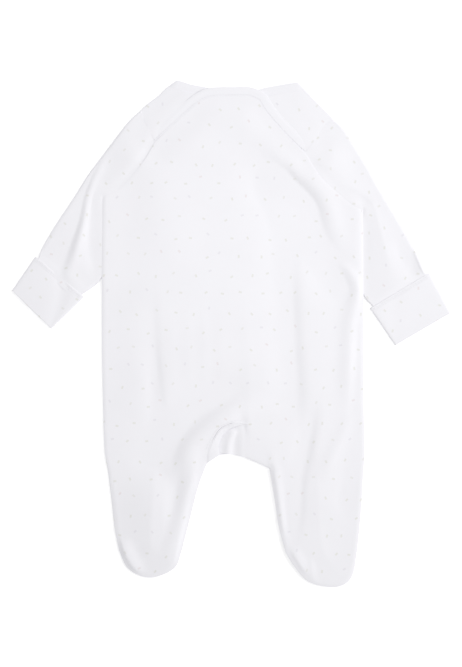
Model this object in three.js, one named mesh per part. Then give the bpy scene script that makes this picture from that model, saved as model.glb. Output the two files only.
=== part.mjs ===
// Footed baby sleepsuit, size 56 to 62, lying flat on its front with its back up.
// Millimetres. +Z is up, +Y points to the neck, and the wearer's left is on -X.
// Every line below is a short list of x, y places that a smooth curve runs through.
import * as THREE from 'three';

// Cloth, seams and trims
const CLOTH = 1.0;
const BINDING = 1.2;
const BINDING_WIDTH = 9.3;
const CUFF = 1.6;
const PLACKET_WIDTH = 12;
const PLACKET_OVERHANG = 1.6;
const SEAM_GAP = 0.3;
const PLAN_GAP = 0.4;

// Poppers: how many, how far in from the seam they sit, and their half profile as radius and height
const POPPERS = 9;
const POPPER_INSET = 5.3;
const POPPER_PROFILE = [[0, 0], [3.1, 0], [4.2, 0.25], [4.5, 0.6], [4.5, 1.0], [0, 1.0]];
const POPPER_SIDES = 14;

// Layers at the places where pieces lie on each other, as the height of their upper face
const FRONT_TOP = CLOTH;
const FLAP_MIDDLE = 1.9;
const FLAP_TOP = 2.7;
const PLACKET_TOP = FRONT_TOP + SEAM_GAP + CLOTH;

// Air between the layers, how far in from an edge it grows, and the share of it left under the lap
const BODY_AIR = 2.4;
const SLEEVE_AIR = 2.1;
const ROLL = 28;
const LAP_EASE = 30;
const LAP_AIR = 0.35;

// Rise of the back over the pieces under it: full within the first distance, none after the second
const OVER_FLAP = { full: 20, none: 34 };
const OVER_PLACKET = { full: 20, none: 32 };

// Rounding of the back binding and of the cuffs across their width
const BINDING_CROWN = 0.5;
const CUFF_CROWN = 0.5;

// Front and back: armholes, sides and legs
const ARMHOLE_TOP = { left: [-91, 223], right: [103, 214] };
const NECK_CORNER = { left: [-54, 253.5], right: [67, 251.5] };
const JUNCTION = { left: [-76, 191.5], right: [74, 180.5] };
const SHOULDER = {
  left: [ARMHOLE_TOP.left, [-84, 229.5], [-73, 237.5], [-65, 245.5], NECK_CORNER.left],
  right: [ARMHOLE_TOP.right, [96, 221.5], [88, 229.5], [80, 237.5], NECK_CORNER.right],
};
const ARMHOLE_UPPER = {
  left: [ARMHOLE_TOP.left, [-86.5, 212], [-80, 200], JUNCTION.left],
  right: [ARMHOLE_TOP.right, [92, 206.5], [85, 194.5], JUNCTION.right],
};
const ARMHOLE_LOWER = {
  left: [JUNCTION.left, [-85, 175.5], [-100, 156.5], [-112, 144.5], [-128, 136.5]],
  right: [JUNCTION.right, [89, 156.5], [111, 136.5], [122, 127.5], [132, 123.5]],
};
const SIDE = {
  left: [[-128, 136.5], [-129, 53.5], [-129, -16.5], [-128, -66.5], [-127.3, -96]],
  right: [[132, 123.5], [132.5, 3.5], [132.5, -66.5], [133.5, -96]],
};
const HIP = {
  left: [[-127.3, -96], [-126, -120.5], [-123, -136.5]],
  right: [[133.5, -96], [133.5, -120.5], [132.5, -136.5]],
};
const LEG_OUTER = {
  left: [[-123, -136.5], [-119, -168.5], [-116, -196.5], [-112, -216.5]],
  right: [[132.5, -136.5], [130, -176.5], [128.5, -192.5], [126, -216.5]],
};
const TOE = {
  left: [
    [-112, -216.5], [-105, -232.5], [-96, -240], [-83, -244], [-68, -241], [-55, -232.5], [-50, -218.5],
  ],
  right: [
    [54.5, -218.5], [63, -232.5], [78, -248.5], [102, -253.5], [114, -250.5], [121, -242.5], [126, -216.5],
  ],
};
const LEG_INNER = {
  left: [[-24, -129.5], [-30, -144.5], [-35, -160.5], [-41, -184.5], [-50, -218.5]],
  right: [[38.5, -134.5], [40, -144.5], [44, -168.5], [47.5, -192.5], [54.5, -218.5]],
};
const CROTCH_HEM = [[-24, -129.5], [-12, -122.5], [0, -121.3], [13, -124], [25, -128.5], [38.5, -134.5]];

// Back: the lapped neck edge, and the bound arch at the crotch
const BACK_LAP = {
  left: [JUNCTION.left, [-61, 205.5], [-48, 217.5], [-34, 229.5], [-25, 235]],
  right: [[28, 232.5], [35, 221.5], [45, 209.5], [66, 187.5], JUNCTION.right],
};
const BACK_NECK = [[-25, 235], [-16, 236.5], [2, 236.8], [19, 236.5], [28, 232.5]];
const ARCH = [[9, -88], [-1.5, -90], [-10.5, -94.5], [-18.5, -106], [-22.5, -115], [-24, -129.5]];
const ARCH_EDGE = [[14, -91], [6, -92.5], [-2.5, -96], [-9, -102], [-12.5, -111], [-11.5, -121.5]];
const ARCH_TOP_RIGHT = [16, -90];
const ROLLED_EDGE = [ARCH_TOP_RIGHT, [13.5, -107], [14, -124]];
const HEM_RIGHT = [[14, -124], [25, -128.5], [38.5, -134.5]];

// Front: neckline, and the flaps that come over the shoulders under the back
const NECKLINE = [
  NECK_CORNER.left, [-44, 238], [-24, 226], [6, 221], [37, 225], [57, 236], NECK_CORNER.right,
];
const FLAP_NECK = {
  left: [[-13, 242.5], [-26, 246.3], [-40, 249], NECK_CORNER.left],
  right: [NECK_CORNER.right, [50, 248.5], [35, 245.8], [22, 242.5]],
};
const BINDING_ENDS = { left: [-79.4, 202], right: [78.4, 188] };
const FLAP_HIDDEN = {
  left: [[-80, 182.5], [-66, 184.5], [-16, 229.5]],
  right: [[19, 226], [66, 173], [80, 171]],
};

// Sleeves, as their outline above and below the underarm, and the turned-back cuffs by their corners
const SLEEVE_HEAD = {
  left: [ARMHOLE_TOP.left, [-101, 213.5], [-126, 181.5], [-144, 157.5]],
  right: [ARMHOLE_TOP.right, [112, 205.5], [128, 181.5], [155, 133.5]],
};
const SLEEVE_OUTER = {
  left: [[-144, 157.5], [-159, 133.5], [-175, 109.5], [-189, 85.5]],
  right: [[155, 133.5], [170, 109.5], [183, 85.5]],
};
const SLEEVE_INNER = {
  left: [[-129.8, 136], [-130.4, 115], [-130.4, 60], [-133, 52.5], [-139, 45.5]],
  right: [[133.8, 122.5], [134.6, 100], [134.6, 60], [134.8, 36]],
};
const CUFF_CORNERS = {
  left: { topInner: [-147.5, 37], topOuter: [-195, 76.5], endInner: [-179.5, 4.5], endOuter: [-219, 43] },
  right: { topInner: [139.5, 25.5], topOuter: [197.5, 60.5], endInner: [164, -12], endOuter: [219.5, 20.5] },
};
const CUFF_OVERLAP = 7;
const CUFF_HUG = 2.4;
const CUFF_TOP_HEIGHT = 5.5;
const CUFF_END_HEIGHT = 3.4;
const CUFF_ROOM = 0.8;
const CUFF_LEVEL = 0.25;
const MOUTH_RISE = { lower: 0.7, upper: 0.8 };
const IN_CUFF_AIR = 0.6;

// Creases of the back and sleeves: where they run, half their width and their depth
const CREASES = [
  { line: [[24, 188], [64, 153], [94, 123], [98, 94], [116, 10], [114, -66]], width: 12, depth: -1.7 },
  { line: [[56, 53], [64, -16], [69, -66]], width: 14, depth: -1.0 },
  { line: [[-76, 3], [-71, -46], [-61, -100]], width: 14, depth: -1.0 },
  { line: [[-1, -66], [-36, -90], [-56, -121], [-48, -161], [-58, -206]], width: 12, depth: -1.8 },
  { line: [[84, -91], [69, -146], [64, -186], [60, -211]], width: 11, depth: -1.5 },
  { line: [[109, -86], [110, -126]], width: 14, depth: 0.8 },
  { line: [[126, -131], [117, -170]], width: 9, depth: -1.0 },
  { line: [[-90, -150], [-86, -200]], width: 14, depth: -0.9 },
  { line: [[-136, 168], [-146, 113], [-161, 73], [-168, 50]], width: 11, depth: -1.2 },
  { line: [[168, 80], [182, 62]], width: 9, depth: -1.2 },
  { line: [[-64, 150], [-46, 60]], width: 18, depth: 0.6 },
  { line: [[10, 40], [6, -40]], width: 20, depth: 0.6 },
];

// Steps of the grids that the pieces are made on
const ARMHOLE_STEPS = { upper: 6, lower: 4 };
const BACK_STEPS = { leg: 11, lap: 5, neck: 5, side: 26, hip: 7, hem: 3, ankle: 10 };
const FRONT_STEPS = { half: 9, shoulder: 5, side: 11, leg: 9, ankle: 2 };
const SLEEVE_STEPS = { along: 10, inCuff: 2 };
const CUFF_STEPS = { along: 4, across: 6 };
const TURN_STEPS = 3;
const INNER_STEPS = { leg: 12, hem: 8 };
const EDGE_STEPS = 14;
const TRIM_STEPS = { back: 4, front: 3, flap: 6, placket: 2 };

const smooth = (t) => {
  const s = Math.min(1, Math.max(0, t));
  return s * s * (3 - 2 * s);
};
const mix = (a, b, t) => a.map((value, k) => value + (b[k] - value) * t);
const minus = (a, b) => [a[0] - b[0], a[1] - b[1]];
const unit = (a) => [a[0] / Math.hypot(a[0], a[1]), a[1] / Math.hypot(a[0], a[1])];
const moved = (a, way, distance) => [a[0] + way[0] * distance, a[1] + way[1] * distance];

// Evenly spaced places along a smooth curve through a list of places
function along(places, steps) {
  const points = places.map(([x, y]) => new THREE.Vector3(x, y, 0));
  const curve = new THREE.CatmullRomCurve3(points, false, 'centripetal');
  return curve.getSpacedPoints(steps).map((point) => [point.x, point.y]);
}

// Several curves end to end, with their shared places kept once
function chain(...runs) {
  return runs.flatMap((run, k) => (k ? run.slice(1) : run));
}

// The line beside another, on its left hand when the distance is above zero
function beside(line, distance) {
  return line.map((place, k) => {
    const before = line[Math.max(0, k - 1)];
    const after = line[Math.min(line.length - 1, k + 1)];
    const [dx, dy] = unit(minus(after, before));
    return moved(place, [-dy, dx], distance);
  });
}

// How far a place is from a line
function away(line, x, y) {
  let nearest = Infinity;
  for (let k = 1; k < line.length; k += 1) {
    const [ax, ay] = line[k - 1];
    const [dx, dy] = minus(line[k], line[k - 1]);
    const t = Math.min(1, Math.max(0, ((x - ax) * dx + (y - ay) * dy) / (dx * dx + dy * dy)));
    nearest = Math.min(nearest, Math.hypot(x - ax - t * dx, y - ay - t * dy));
  }
  return nearest;
}

// A four-sided piece of cloth in plan, filled in between its edge lines
function patch(top, bottom, left, right) {
  const across = top.length - 1;
  const down = left.length - 1;
  return left.map((start, r) => top.map((head, c) => {
    const u = c / across;
    const v = r / down;
    const between = [mix(head, bottom[c], v), mix(start, right[r], u)];
    const corners = mix(mix(top[0], top[across], u), mix(bottom[0], bottom[across], u), v);
    return [0, 1].map((k) => between[0][k] + between[1][k] - corners[k]);
  }));
}

// A cloth surface gathered from grids, and the solid that it makes when it is given thickness
class Cloth {
  constructor() {
    this.points = [];
    this.known = new Map();
    this.faces = [];
  }

  place(point) {
    const key = point.map((value) => Math.round(value * 100)).join(' ');
    if (!this.known.has(key)) {
      this.known.set(key, this.points.length);
      this.points.push(new THREE.Vector3(...point));
    }
    return this.known.get(key);
  }

  grid(rows) {
    for (let r = 1; r < rows.length; r += 1) {
      for (let c = 1; c < rows[r].length; c += 1) {
        const [a, b] = [this.place(rows[r - 1][c - 1]), this.place(rows[r - 1][c])];
        const [d, e] = [this.place(rows[r][c - 1]), this.place(rows[r][c])];
        this.faces.push([a, d, e], [a, e, b]);
      }
    }
    return this;
  }

  normals() {
    const sums = this.points.map(() => new THREE.Vector3());
    for (const face of this.faces) {
      const [a, b, c] = face.map((k) => this.points[k]);
      const normal = b.clone().sub(a).cross(c.clone().sub(a));
      face.forEach((k) => sums[k].add(normal));
    }
    return sums.map((sum) => sum.normalize());
  }

  solid(thickness) {
    const count = this.points.length;
    const normals = this.normals();
    const side = (offset) => this.points.map((p, k) => p.clone().addScaledVector(normals[k], offset));
    const corners = [...side(thickness / 2), ...side(-thickness / 2)];
    const used = new Set(this.faces.flatMap(([a, b, c]) => [`${a} ${b}`, `${b} ${c}`, `${c} ${a}`]));
    const triangles = [];
    for (const [a, b, c] of this.faces) {
      triangles.push([a, b, c], [a + count, c + count, b + count]);
      for (const [from, to] of [[a, b], [b, c], [c, a]]) {
        if (!used.has(`${to} ${from}`)) {
          triangles.push([to, from, from + count], [to, from + count, to + count]);
        }
      }
    }
    return closedGeometry(corners, triangles);
  }
}

// A closed mesh with its faces pointing out
function closedGeometry(corners, triangles) {
  const volume = triangles.reduce(
    (sum, [a, b, c]) => sum + corners[a].dot(corners[b].clone().cross(corners[c])), 0);
  const turned = volume < 0 ? triangles.map(([a, b, c]) => [a, c, b]) : triangles;
  const geometry = new THREE.BufferGeometry();
  const values = corners.flatMap((p) => p.toArray());
  geometry.setAttribute('position', new THREE.Float32BufferAttribute(values, 3));
  geometry.setIndex(turned.flat());
  geometry.computeVertexNormals();
  return geometry;
}

// Seam lines that neighbouring pieces share, sampled once for all of them
const HANDS = ['left', 'right'];
const perHand = (make) => Object.fromEntries(HANDS.map((hand) => [hand, make(hand)]));
const UPPER = perHand((hand) => along(ARMHOLE_UPPER[hand], ARMHOLE_STEPS.upper));
const LOWER = perHand((hand) => along(ARMHOLE_LOWER[hand], ARMHOLE_STEPS.lower));
const ARCH_SEAM = along(ARCH, BACK_STEPS.hip);
const NECK_EDGE = along(NECKLINE, 2 * FRONT_STEPS.half);

// Lines that the heights are worked out from
const BACK_TOP = chain(
  along(BACK_LAP.left, BACK_STEPS.lap),
  along(BACK_NECK, BACK_STEPS.neck),
  along(BACK_LAP.right, BACK_STEPS.lap));
const INNER_SEAM = chain(
  along([...LEG_INNER.left].reverse(), INNER_STEPS.leg),
  along(CROTCH_HEM, INNER_STEPS.hem),
  along(LEG_INNER.right, INNER_STEPS.leg));
const BODY_EDGES = [
  SIDE.left, SIDE.right, HIP.left, HIP.right, LEG_OUTER.left, LEG_OUTER.right, TOE.left, TOE.right,
  LEG_INNER.left, LEG_INNER.right, ARCH, ROLLED_EDGE, HEM_RIGHT,
].map((places) => along(places, EDGE_STEPS));
const SLEEVE_EDGES = HANDS.flatMap((hand) => [SLEEVE_HEAD[hand], SLEEVE_OUTER[hand], SLEEVE_INNER[hand]])
  .map((places) => along(places, EDGE_STEPS));
const CREASE_LINES = CREASES.map((crease) => ({ ...crease, line: along(crease.line, EDGE_STEPS) }));

const toEdges = (edges, x, y) => Math.min(...edges.map((line) => away(line, x, y)));
const creased = (x, y) => CREASE_LINES.reduce(
  (sum, { line, width, depth }) => sum + depth * Math.exp(-((away(line, x, y) / width) ** 2)), 0);

// The middle of a cloth that lies on whatever is under it at a place
function lying(x, y, thickness) {
  const over = (line, { full, none }) => 1 - smooth((away(line, x, y) - full) / (none - full));
  const flap = (FLAP_TOP - FRONT_TOP) * over(BACK_TOP, OVER_FLAP);
  const placket = (PLACKET_TOP - FRONT_TOP) * over(INNER_SEAM, OVER_PLACKET);
  return FRONT_TOP + Math.max(flap, placket) + SEAM_GAP + thickness / 2;
}

// The middle of a cloth with air and creases in it, held down at its edges and beside the lap
const aired = (edges, air) => ([x, y]) => {
  const edge = smooth(toEdges(edges, x, y) / ROLL);
  const lap = smooth(away(BACK_TOP, x, y) / LAP_EASE);
  const rise = air * (LAP_AIR + (1 - LAP_AIR) * lap) + creased(x, y) * lap;
  return lying(x, y, CLOTH) + edge * Math.max(0, rise);
};
const backHeight = aired(BODY_EDGES, BODY_AIR);
const sleeveHeight = aired(SLEEVE_EDGES, SLEEVE_AIR);

const raised = (rows, height) => rows.map((row) => row.map((place) => [...place, height(place)]));

// Rows that carry cloth round a fold, from the layer above down to the layer below
function turned(row, outward, upper, lower) {
  const middle = (upper + lower) / 2;
  const radius = (upper - lower) / 2;
  const part = Math.PI / (TURN_STEPS + 1);
  const angles = Array.from({ length: TURN_STEPS }, (_, k) => part * (k + 1));
  return angles.map((angle) => row.map(
    (place) => [...moved(place, outward, radius * Math.sin(angle)), middle + radius * Math.cos(angle)]));
}

// Pieces

function backPanel() {
  const { leg, side, hip, hem, ankle } = BACK_STEPS;
  const top = chain([...LOWER.left].reverse(), BACK_TOP, LOWER.right);
  const bottom = chain(
    along([SIDE.left.at(-1), [-60, -93], ARCH[0]], leg), [ARCH[0], ARCH_TOP_RIGHT],
    along([ARCH_TOP_RIGHT, [70, -94], SIDE.right.at(-1)], leg));
  const torso = patch(top, bottom, along(SIDE.left, side), along(SIDE.right, side));
  const legLeft = patch(
    bottom.slice(0, leg + 1), along(TOE.left, leg),
    chain(along(HIP.left, hip), along(LEG_OUTER.left, ankle)),
    chain(ARCH_SEAM, along(LEG_INNER.left, ankle)));
  const legRight = patch(
    bottom.slice(leg + 1), along(TOE.right, leg),
    chain(along(ROLLED_EDGE, hip - hem), along(HEM_RIGHT, hem), along(LEG_INNER.right, ankle)),
    chain(along(HIP.right, hip), along(LEG_OUTER.right, ankle)));
  const cloth = new Cloth();
  [torso, legLeft, legRight].forEach((rows) => cloth.grid(raised(rows, backHeight)));
  return cloth.solid(CLOTH);
}

// The shoulder fold of the front, its place measured along the fold from the neck corner
function shoulderFold(hand, thickness) {
  const outline = SHOULDER[hand];
  const sign = hand === 'left' ? 1 : -1;
  const tangent = unit(minus(outline.at(-1), outline[0]));
  const outward = [-tangent[1] * sign, tangent[0] * sign];
  const inset = (FLAP_MIDDLE - CLOTH / 2) / 2 + thickness / 2;
  const seam = moved(outline.at(-1), unit(minus(outline.at(-2), outline.at(-1))), BINDING_WIDTH);
  const inward = (place) => moved(place, outward, -inset);
  return { outward, inward, seam: inward(seam), corner: inward(outline.at(-1)) };
}

function frontPanel() {
  const { half, shoulder, side, leg, ankle } = FRONT_STEPS;
  const folds = perHand((hand) => shoulderFold(hand, CLOTH));
  const foldRow = (hand) => {
    const outline = SHOULDER[hand].slice(0, -1).map(folds[hand].inward);
    return along([...outline, folds[hand].seam], shoulder);
  };
  const seam = beside(NECK_EDGE, -BINDING_WIDTH).slice(1, -1);
  const rows = { left: foldRow('left'), right: foldRow('right').reverse() };
  const top = [rows.left.at(-1), ...seam, rows.right[0]];
  const upper = perHand((hand) => chain([folds[hand].inward(ARMHOLE_TOP[hand])], UPPER[hand]));
  const folded = { left: [...rows.left].reverse(), right: rows.right };
  const edge = (hand) => chain(folded[hand], upper[hand], LOWER[hand], along(SIDE[hand], side));
  const inner = beside(INNER_SEAM, PLACKET_WIDTH - PLACKET_OVERHANG);
  const middle = Math.floor(inner.length / 2);
  const cross = inner[middle];
  const bottom = chain(
    along([SIDE.left.at(-1), cross], half),
    along([cross, SIDE.right.at(-1)], half));
  const plan = patch(top, bottom, edge('left'), edge('right'));
  const ankleEdge = (hand, points) => chain(
    along(points, leg),
    along([points.at(-1), LEG_INNER[hand].at(-1)], ankle));
  const legEdge = (hand) => chain(
    along([...HIP[hand], ...LEG_OUTER[hand].slice(1, -1)], leg),
    along(LEG_OUTER[hand].slice(-2), ankle));
  const legLeft = patch(bottom.slice(0, half + 1), along(TOE.left, half), legEdge('left'),
    ankleEdge('left', inner.slice(2, middle + 1).reverse()));
  const legRight = patch(bottom.slice(half), along(TOE.right, half),
    ankleEdge('right', inner.slice(middle, -2)), legEdge('right'));
  const cloth = new Cloth();
  const flat = () => CLOTH / 2;
  [plan, legLeft, legRight].forEach((grid) => cloth.grid(raised(grid, flat)));
  for (const hand of HANDS) {
    const [hidden, neckEnd] = hand === 'left'
      ? [FLAP_HIDDEN.left[0], FLAP_NECK.left]
      : [FLAP_HIDDEN.right.at(-1), [...FLAP_NECK.right].reverse()];
    const armholeSide = [hidden, ...[...upper[hand]].reverse()];
    const inset = hand === 'left' ? BINDING_WIDTH : -BINDING_WIDTH;
    const neckLine = beside(along(neckEnd, armholeSide.length - 1), inset);
    const neckSide = [...neckLine.slice(0, -1), folds[hand].seam];
    const sides = hand === 'left' ? [armholeSide, neckSide] : [neckSide, armholeSide];
    const hiddenEdge = hand === 'left'
      ? [...FLAP_HIDDEN.left.slice(0, -1), neckSide[0]]
      : [neckSide[0], ...FLAP_HIDDEN.right.slice(1)];
    const plans = patch(along(hiddenEdge, shoulder), rows[hand], ...sides);
    const layer = raised(plans, () => FLAP_MIDDLE);
    const fold = turned(rows[hand], folds[hand].outward, FLAP_MIDDLE, CLOTH / 2);
    cloth.grid([...layer, ...fold, ...raised([rows[hand]], flat)]);
  }
  return cloth.solid(CLOTH);
}

// A strip between two lines of places, with the heights of its cross sections
function strip(outer, inner, across, height) {
  return outer.map((place, k) => Array.from({ length: across + 1 }, (_, c) => {
    const at = mix(place, inner[k], c / across);
    return [...at, height(at, c / across)];
  }));
}

function backBinding() {
  const seam = beside(BACK_TOP, PLAN_GAP);
  const edge = beside(BACK_TOP, BINDING_WIDTH);
  edge[0] = BINDING_ENDS.left;
  edge[edge.length - 1] = BINDING_ENDS.right;
  const height = ([x, y], t) => lying(x, y, BINDING) + BINDING_CROWN * Math.sin(Math.PI * t);
  return new Cloth().grid(strip(edge, seam, TRIM_STEPS.back, height)).solid(BINDING);
}

function frontBinding() {
  const upper = FLAP_TOP - BINDING / 2;
  const lower = BINDING / 2;
  const width = BINDING_WIDTH - PLAN_GAP;
  const across = TRIM_STEPS.front;
  const folds = perHand((hand) => shoulderFold(hand, BINDING));
  const station = perHand((hand) => {
    const { corner, seam } = folds[hand];
    return along([corner, moved(seam, unit(minus(corner, seam)), PLAN_GAP)], across);
  });
  const flapRows = (line) => strip(line, beside(line, width), across, () => upper);
  const left = flapRows(along(FLAP_NECK.left, TRIM_STEPS.flap)).slice(0, -1);
  const right = flapRows(along(FLAP_NECK.right, TRIM_STEPS.flap)).slice(1);
  const front = strip(NECK_EDGE, beside(NECK_EDGE, -width), across, () => lower).slice(1, -1);
  const at = (row, z) => row.map((place) => [...place, z]);
  const folded = (hand) => [
    at(station[hand], upper),
    ...turned(station[hand], folds[hand].outward, upper, lower),
    at(station[hand], lower),
  ];
  const rows = [...left, ...folded('left'), ...front, ...folded('right').reverse(), ...right];
  return new Cloth().grid(rows).solid(BINDING);
}

// A flattened tube: a row of places across it for each step along it, with its two heights.
// Its first rows may be open along one edge, as a sleeve is above the underarm
function tube(rows, lower, upper, thickness, open = 0) {
  const cloth = new Cloth();
  const loops = rows.map((row, r) => {
    const low = lower(row, r);
    const high = row.map((place, c) => upper(place, r, c));
    const last = row.length - 1;
    const ends = [[0, unit(minus(row[0], row[1]))], [last, unit(minus(row[last], row[last - 1]))]];
    const places = row.map((place) => [...place]);
    ends.slice(r < open ? 1 : 0).forEach(([c, outward]) => {
      places[c] = moved(places[c], outward, -(high[c] - low) / 2 - thickness / 2);
    });
    const end = ([c, outward], flip) => {
      const arc = turned([places[c]], outward, high[c], low).map(([point]) => point);
      return flip ? arc.reverse() : arc;
    };
    const top = places.map((place, c) => [...place, high[c]]);
    const bottom = places.map((place) => [...place, low]).reverse();
    return [...top, ...end(ends[1], false), ...bottom, ...end(ends[0], true), top[0]];
  });
  const opened = loops.slice(0, open + 1).map((loop) => loop.slice(0, -TURN_STEPS - 1));
  return cloth.grid(open ? opened : []).grid(loops.slice(open)).solid(thickness);
}

const cuffPlace = (hand, edge, distance) => {
  const { topInner, topOuter, endInner, endOuter } = CUFF_CORNERS[hand];
  const [from, to] = edge === 'inner' ? [topInner, endInner] : [topOuter, endOuter];
  return moved(from, unit(minus(to, from)), distance);
};

function sleeve(hand) {
  const { along: down, inCuff } = SLEEVE_STEPS;
  const { upper: across, lower: head } = ARMHOLE_STEPS;
  const into = ['inner', 'outer'].map((edge) => cuffPlace(hand, edge, CUFF_OVERLAP));
  const mouth = ['inner', 'outer'].map((edge) => cuffPlace(hand, edge, -1));
  const hug = unit(minus(into[0], into[1]));
  const narrowed = ([inner, outer]) => [moved(inner, hug, -CUFF_HUG), moved(outer, hug, CUFF_HUG)];
  const [mouthInner, mouthOuter] = narrowed(mouth);
  const [endInner, endOuter] = narrowed(into);
  const outward = hand === 'left' ? -2 * PLAN_GAP : 2 * PLAN_GAP;
  const fromBody = ([x, y]) => [x + outward, y];
  const cap = [...UPPER[hand]].reverse().map(fromBody);
  const armhole = [...LOWER[hand].slice(0, -1).map(fromBody), SLEEVE_INNER[hand][0]];
  const underarm = along([SLEEVE_INNER[hand][0], SLEEVE_OUTER[hand][0]], across);
  const outline = along([cap.at(-1), ...SLEEVE_HEAD[hand].slice(1)], head);
  const headPlan = patch(cap, underarm, armhole, outline);
  const edge = (places, mouthPlace, endPlace) => chain(
    along([...places, mouthPlace], down),
    along([mouthPlace, endPlace], inCuff));
  const inner = edge(SLEEVE_INNER[hand], mouthInner, endInner);
  const outer = edge(SLEEVE_OUTER[hand], mouthOuter, endOuter);
  const armPlan = patch(underarm, along([endInner, endOuter], across), inner, outer);
  const low = CLOTH / 2;
  const inside = CUFF + SEAM_GAP + CLOTH / 2;
  const rising = (r, start) => smooth(((r - head) / down - start) / (1 - start));
  const lower = (row, r) => mix([low], [inside], rising(r, MOUTH_RISE.lower))[0];
  const higher = (place, r) => {
    const lifted = sleeveHeight(place) + (inside - low) * rising(r, MOUTH_RISE.lower);
    return mix([lifted], [inside + CLOTH + IN_CUFF_AIR], rising(r, MOUTH_RISE.upper))[0];
  };
  return tube(chain(headPlan, armPlan), lower, higher, CLOTH, head);
}

function cuff(hand) {
  const { along: down, across } = CUFF_STEPS;
  const { topInner, topOuter, endInner, endOuter } = CUFF_CORNERS[hand];
  const wide = unit(minus(topInner, topOuter));
  const top = along([moved(topInner, wide, CUFF_ROOM), moved(topOuter, wide, -CUFF_ROOM)], across);
  const plan = patch(top, along([endInner, endOuter], across),
    along([top[0], endInner], down), along([top[across], endOuter], down));
  const lower = () => CUFF / 2;
  const upper = (place, r, c) => {
    const crown = CUFF_CROWN * Math.sin((Math.PI * c) / across);
    const t = smooth((r / down - CUFF_LEVEL) / (1 - CUFF_LEVEL));
    return mix([CUFF_TOP_HEIGHT], [CUFF_END_HEIGHT], t)[0] + crown;
  };
  return tube(plan, lower, upper, CUFF);
}

function frontPlacket() {
  const path = INNER_SEAM.slice(2, -2);
  const edge = beside(path, CLOTH / 2);
  const seam = beside(path, PLACKET_WIDTH);
  const height = () => PLACKET_TOP - CLOTH / 2;
  return new Cloth().grid(strip(edge, seam, TRIM_STEPS.placket, height)).solid(CLOTH);
}

function backPlacket() {
  const seam = beside(ARCH_SEAM, PLAN_GAP);
  const edge = along(ARCH_EDGE, BACK_STEPS.hip);
  const height = ([x, y]) => lying(x, y, BINDING);
  return new Cloth().grid(strip(edge, seam, TRIM_STEPS.placket, height)).solid(BINDING);
}

// A popper's cap, set in the front placket
function popper() {
  const profile = POPPER_PROFILE.map(([x, y]) => new THREE.Vector2(x, y));
  return new THREE.LatheGeometry(profile, POPPER_SIDES).rotateX(Math.PI / 2);
}

const material = (color, roughness, metalness) => new THREE.MeshStandardMaterial({
  color, roughness, metalness, side: THREE.DoubleSide });
const jersey = material('#f1f0f5', 0.92, 0);
const rib = material('#f3f2f7', 0.9, 0);
const metal = material('#e6e6ea', 0.4, 0.2);

const suit = new THREE.Group();
function add(name, geometry, finish) {
  const mesh = new THREE.Mesh(geometry, finish);
  mesh.name = name;
  suit.add(mesh);
  return mesh;
}

add('back_panel', backPanel(), jersey);
add('front_panel', frontPanel(), jersey);
for (const hand of HANDS) {
  add(`sleeve_${hand}`, sleeve(hand), jersey);
  add(`cuff_${hand}`, cuff(hand), jersey);
}
add('back_neck_binding', backBinding(), rib);
add('front_neck_binding', frontBinding(), rib);
add('back_placket', backPlacket(), jersey);
add('front_placket', frontPlacket(), jersey);

// Poppers at an even pitch along the strip of placket outside the front panel
along(beside(INNER_SEAM, POPPER_INSET).slice(3, -3), POPPERS - 1).forEach(([x, y], k) => {
  const cap = add(`popper_${k + 1}`, popper(), metal);
  cap.position.set(x, y, 0);
});

export default suit;
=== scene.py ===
import bmesh
import bpy
import numpy as np
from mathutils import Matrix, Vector


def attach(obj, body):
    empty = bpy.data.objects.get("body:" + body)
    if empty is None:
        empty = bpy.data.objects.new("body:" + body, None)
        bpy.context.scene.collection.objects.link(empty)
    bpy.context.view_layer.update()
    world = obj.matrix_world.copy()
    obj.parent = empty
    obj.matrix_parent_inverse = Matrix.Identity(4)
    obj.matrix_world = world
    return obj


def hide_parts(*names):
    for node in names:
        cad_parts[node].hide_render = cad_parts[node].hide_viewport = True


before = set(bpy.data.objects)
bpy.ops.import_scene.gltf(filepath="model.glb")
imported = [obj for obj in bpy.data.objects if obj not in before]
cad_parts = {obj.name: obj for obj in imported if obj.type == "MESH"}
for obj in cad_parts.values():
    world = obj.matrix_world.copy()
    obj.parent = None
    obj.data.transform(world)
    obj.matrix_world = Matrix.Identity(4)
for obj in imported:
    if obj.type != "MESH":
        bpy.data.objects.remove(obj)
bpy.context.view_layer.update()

# Table, light and camera.
# A plain white table top, a white room, one broad soft light from the upper right with a weak lamp
# overhead, and a camera looking straight down: the suit was laid on its front and taken from above.
scene = bpy.context.scene
scene.view_settings.view_transform = "Standard"
room = bpy.data.worlds.new("white_room")
scene.world = room
room.use_nodes = True
room.node_tree.nodes["Background"].inputs["Color"].default_value = (1, 1, 1, 1)
room.node_tree.nodes["Background"].inputs["Strength"].default_value = 0.672

TABLE_REACH = 3
TABLE_LEVEL = -0.0004
table_corners = [
    (x * TABLE_REACH, y * TABLE_REACH, TABLE_LEVEL) for x, y in ((-1, -1), (1, -1), (1, 1), (-1, 1))]
table = bpy.data.objects.new("table_top", bpy.data.meshes.new("table_top"))
table.data.from_pydata(table_corners, [], [(0, 1, 2, 3)])
scene.collection.objects.link(table)
white_top = bpy.data.materials.new("white_table_top")
white_top.use_nodes = True
top_shader = white_top.node_tree.nodes["Principled BSDF"]
top_shader.inputs["Base Color"].default_value = (0.9, 0.9, 0.9, 1)
top_shader.inputs["Roughness"].default_value = 0.9
top_shader.inputs["Emission Color"].default_value = (1, 1, 1, 1)
top_shader.inputs["Emission Strength"].default_value = 0.3
table.data.materials.append(white_top)

light = bpy.data.objects.new("softbox", bpy.data.lights.new("softbox", "AREA"))
light.data.size = 1.9
light.data.energy = 34
light.location = (1.92, 0.5, 1.9)
light.rotation_euler = (Vector((0.0, 0.05, 0.0)) - light.location).to_track_quat("-Z", "Y").to_euler()
scene.collection.objects.link(light)

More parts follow.
